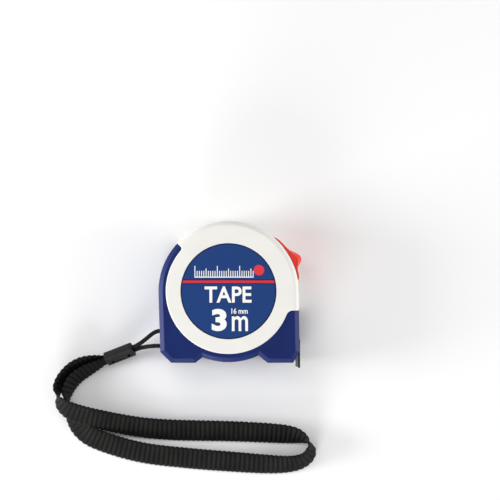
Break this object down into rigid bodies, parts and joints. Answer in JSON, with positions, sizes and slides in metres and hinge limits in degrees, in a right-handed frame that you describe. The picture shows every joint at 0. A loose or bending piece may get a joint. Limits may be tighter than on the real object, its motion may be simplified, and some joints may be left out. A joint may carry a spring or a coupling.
{
  "type": "tape measure",
  "caption": "Pocket tape measure: round two-shell case with a soft jacket, sprung blade with a floating end hook, sliding lock and a webbing wrist loop.",
  "frame": {"origin": "on the spool's axis where it meets the plane that the case's back lies on", "axes": "+Z out of the labelled face, +X out of the mouth along the blade, -Y out of the base"},
  "size_m": [0.1198, 0.1139, 0.028],
  "materials": {
    "shell": "white moulded ABS, satin",
    "jacket": "navy soft-touch overmould, satin",
    "label": "printed film label",
    "screw_steel": "zinc plated",
    "post": "moulded acetal",
    "spool": "moulded polystyrene",
    "blade": "lacquered spring steel strip with printed graduations",
    "spring_steel": "blued spring steel",
    "rivet": "plated steel",
    "hook": "pressed steel, black plated",
    "guide": "moulded acetal",
    "bumper": "black rubber",
    "lock": "red moulded ABS",
    "brake": "black rubber pad",
    "crimp": "black moulded nylon",
    "cord": "braided nylon cord",
    "webbing": "ribbed polyester webbing",
    "washer": "white acetal"
  },
  "bodies": {
    "case": {"rear_shell": "shell", "front_shell": "shell", "rear_grip": "jacket", "front_grip": "jacket", "front_label": "label", "rear_label": "label", "case_screws": "screw_steel", "centre_post": "post", "rear_thrust_washer": "washer", "front_thrust_washer": "washer", "blade_guide": "guide", "hook_bumper": "bumper", "strap_pin": "post", "lanyard_cord": "cord", "crimp_body": "crimp", "crimp_cap": "crimp", "wrist_strap": "webbing"},
    "spool": {"spool_drum": "spool", "spool_flange": "spool", "blade_coil": "blade", "return_spring": "spring_steel"},
    "blade": {"blade_lead": "blade", "hook_rivets": "rivet"},
    "hook": {"end_hook": "hook"},
    "lock": {"lock_button": "lock", "lock_arm": "lock", "brake_pad": "brake"}
  },
  "joints": [
    {"name": "blade_pull", "type": "slide", "parent": "case", "child": "blade", "axis": [1, 0, 0], "range_m": [0, 3], "stiffness_N_per_m": 1.2, "springref_m": -2.5, "deforming": ["blade_lead"]},
    {"name": "spool_turn", "type": "hinge", "parent": "case", "child": "spool", "pos_m": [0, 0, 0.014], "axis": [0, 0, 1], "range_deg": [-10, 8060], "deforming": ["return_spring"]},
    {"name": "hook_float", "type": "slide", "parent": "blade", "child": "hook", "axis": [1, 0, 0], "range_m": [0, 0.001]},
    {"name": "lock_slide", "type": "hinge", "parent": "case", "child": "lock", "pos_m": [0, 0, 0.014], "axis": [0, 0, 1], "range_deg": [-10, 0]}
  ],
  "couplings": [
    {"joint": "spool_turn", "follows": "blade_pull", "rad_per_m": 46.62}
  ]
}
